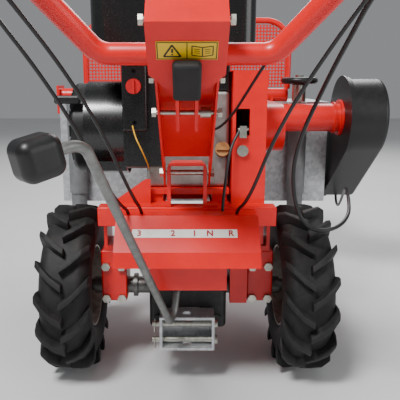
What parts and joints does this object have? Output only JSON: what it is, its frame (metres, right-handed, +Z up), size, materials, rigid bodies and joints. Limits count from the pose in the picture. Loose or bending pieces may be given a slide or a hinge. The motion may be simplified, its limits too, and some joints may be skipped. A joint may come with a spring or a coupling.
{
  "type": "trencher",
  "caption": "Two-wheel walk-behind trencher: engine, shaft and belt drives, tilting handlebar column, gear lever and a front chain boom under a sheet hood.",
  "frame": {"origin": "middle of the whole machine's footprint, on the ground", "axes": "+X to the operator's right, +Y forward towards the digging boom, +Z up"},
  "size_m": [1.077, 2.1066, 1.0205],
  "materials": {
    "tyre": "moulded rubber",
    "rim": "silver lacquer, dusty",
    "steel": "turned steel",
    "zinc": "zinc plated",
    "gearbox": "black paint on casting",
    "red": "gloss red powder coat",
    "galvanised": "galvanised sheet",
    "strip": "printed strip",
    "rod": "dull plated rod",
    "plastic": "moulded",
    "rubber": "grip",
    "label": "yellow label",
    "aluminium": "die cast",
    "black_metal": "black enamel",
    "belt": "ribbed belt",
    "cast": "machined",
    "cable": "sheath",
    "leg": "grey paint"
  },
  "bodies": {
    "frame": {"axle_tubes": "steel", "gearbox_housing": "gearbox", "axle_clamps": "red", "frame_bolts": "zinc", "chassis_frame": "red", "rear_hitch_box": "galvanised", "hitch_pins": "zinc", "shift_gate_cover": "red", "gate_scale_strip": "strip", "column_bracket": "red", "engine_crankcase": "aluminium", "fan_housing": "black_metal", "recoil_cover": "black_metal", "engine_shroud": "black_metal", "fuel_tank": "black_metal", "air_cleaner": "plastic", "muffler": "black_metal", "belt_guard": "red", "tool_guard": "red", "cross_tube": "red", "side_case": "black_metal", "hood": "galvanised", "guard_frame": "red", "guard_mesh": "red", "leg_sleeves": "leg", "drive_belts": "belt", "control_cables": "cable", "loop_cable": "cable"},
    "wheels": {"tyres": "tyre", "rims": "rim", "axle_shaft": "steel", "wheel_bolts": "zinc"},
    "gearbox_input": {"input_shaft": "steel"},
    "engine_crank": {"crankshaft": "cast"},
    "cross_drive": {"cross_shaft": "cast"},
    "head_drive": {"head_shaft": "steel"},
    "gear_lever": {"shift_lever": "rod", "shift_knob": "plastic"},
    "handlebar": {"column_channel": "red", "column_bolts": "zinc", "column_head": "red", "label_plate": "label", "handlebar_tube": "red", "handlebar_grips": "rubber", "lever_clamps": "black_metal"},
    "column_lock": {"lock_lever": "red", "lock_sleeve": "rubber"},
    "clutch_hand_lever": {"clutch_lever": "black_metal"},
    "brake_hand_lever": {"brake_lever": "black_metal"},
    "throttle": {"throttle_lever": "plastic"},
    "starter_handle": {"recoil_handle": "plastic"},
    "engine_switch": {"switch_knob": "plastic"},
    "tank_cap": {"fuel_cap": "plastic"},
    "oil_filler": {"oil_cap": "plastic"},
    "lift_screw": {"depth_screw": "zinc", "depth_handwheel": "plastic"},
    "right_leg": {"depth_leg": "leg"},
    "boom": {"boom_arm": "red", "digging_chain": "steel"},
    "boom_nose": {"nose_roller": "steel"}
  },
  "joints": [
    {"name": "wheel_turn", "type": "hinge", "parent": "frame", "child": "wheels", "pos_m": [-0.0835, -0.23268, 0.205], "axis": [1, 0, 0], "continuous": true},
    {"name": "input_turn", "type": "hinge", "parent": "frame", "child": "gearbox_input", "pos_m": [-0.0835, -0.18286, 0.26437], "axis": [1, 0, 0], "continuous": true},
    {"name": "head_turn", "type": "hinge", "parent": "frame", "child": "head_drive", "pos_m": [-0.0835, 0.47232, 0.34], "axis": [1, 0, 0], "continuous": true},
    {"name": "cross_turn", "type": "hinge", "parent": "frame", "child": "cross_drive", "pos_m": [-0.0835, 0.25932, 0.594], "axis": [1, 0, 0], "continuous": true},
    {"name": "crank_turn", "type": "hinge", "parent": "frame", "child": "engine_crank", "pos_m": [-0.0835, -0.11268, 0.593], "axis": [1, 0, 0], "continuous": true},
    {"name": "gear_select", "type": "hinge", "parent": "frame", "child": "gear_lever", "pos_m": [-0.1055, -0.33868, 0.244], "axis": [0, 1, 0], "range_deg": [0, 62]},
    {"name": "handlebar_tilt", "type": "hinge", "parent": "frame", "child": "handlebar", "pos_m": [-0.0835, -0.31668, 0.508], "axis": [1, 0, 0], "range_deg": [-8, 8], "deforming": ["control_cables", "loop_cable"]},
    {"name": "column_release", "type": "hinge", "parent": "handlebar", "child": "column_lock", "pos_m": [-0.0835, -0.48147, 0.65255], "axis": [1, 0, 0], "range_deg": [0, 14], "stiffness_Nm_per_rad": 6},
    {"name": "clutch_squeeze", "type": "hinge", "parent": "handlebar", "child": "clutch_hand_lever", "pos_m": [-0.4067, -0.90379, 0.93794], "axis": [-0.994, 0.1075, -0.0211], "range_deg": [0, 8], "stiffness_Nm_per_rad": 4, "springref_deg": -11.46},
    {"name": "brake_squeeze", "type": "hinge", "parent": "handlebar", "child": "brake_hand_lever", "pos_m": [0.2397, -0.90379, 0.93794], "axis": [-0.994, -0.1075, 0.0211], "range_deg": [0, 8], "stiffness_Nm_per_rad": 4, "springref_deg": -11.46},
    {"name": "throttle_turn", "type": "hinge", "parent": "handlebar", "child": "throttle", "pos_m": [0.2361, -0.86519, 0.965], "axis": [0, 0.1929, 0.9812], "range_deg": [-30, 60]},
    {"name": "starter_pull", "type": "slide", "parent": "frame", "child": "starter_handle", "axis": [0, -1, 0], "range_m": [0, 0.03], "stiffness_N_per_m": 120, "springref_m": -0.05},
    {"name": "switch_turn", "type": "hinge", "parent": "frame", "child": "engine_switch", "pos_m": [-0.2045, -0.27268, 0.7], "axis": [0, 1, 0], "range_deg": [0, 60]},
    {"name": "tank_cap_turn", "type": "hinge", "parent": "frame", "child": "tank_cap", "pos_m": [-0.0235, -0.15268, 0.92], "axis": [0, 0, 1], "range_deg": [0, 90]},
    {"name": "oil_cap_turn", "type": "hinge", "parent": "frame", "child": "oil_filler", "pos_m": [-0.0005, -0.25068, 0.548], "axis": [0, -0.9439, 0.3304], "range_deg": [0, 360]},
    {"name": "lift_turn", "type": "hinge", "parent": "frame", "child": "lift_screw", "pos_m": [0.2945, 0.33732, 0.712], "axis": [0, 0, 1], "range_deg": [-4320, 3600]},
    {"name": "leg_slide", "type": "slide", "parent": "frame", "child": "right_leg", "axis": [0, 0, 1], "range_m": [-0.0605, 0.0505]},
    {"name": "boom_lift", "type": "hinge", "parent": "frame", "child": "boom", "pos_m": [-0.0835, 0.47232, 0.34], "axis": [1, 0, 0], "range_deg": [-70, 10]},
    {"name": "nose_turn", "type": "hinge", "parent": "boom", "child": "boom_nose", "pos_m": [-0.0835, 0.99392, 0.47976], "axis": [1, 0, 0], "continuous": true}
  ],
  "couplings": [
    {"joint": "input_turn", "follows": "wheel_turn", "ratio": -4.1667},
    {"joint": "cross_turn", "follows": "head_turn", "ratio": 0.54286},
    {"joint": "crank_turn", "follows": "head_turn", "ratio": 0.61071},
    {"joint": "nose_turn", "follows": "head_turn", "ratio": 1.1702},
    {"joint": "leg_slide", "follows": "lift_turn", "m_per_rad": 0.00079577}
  ]
}
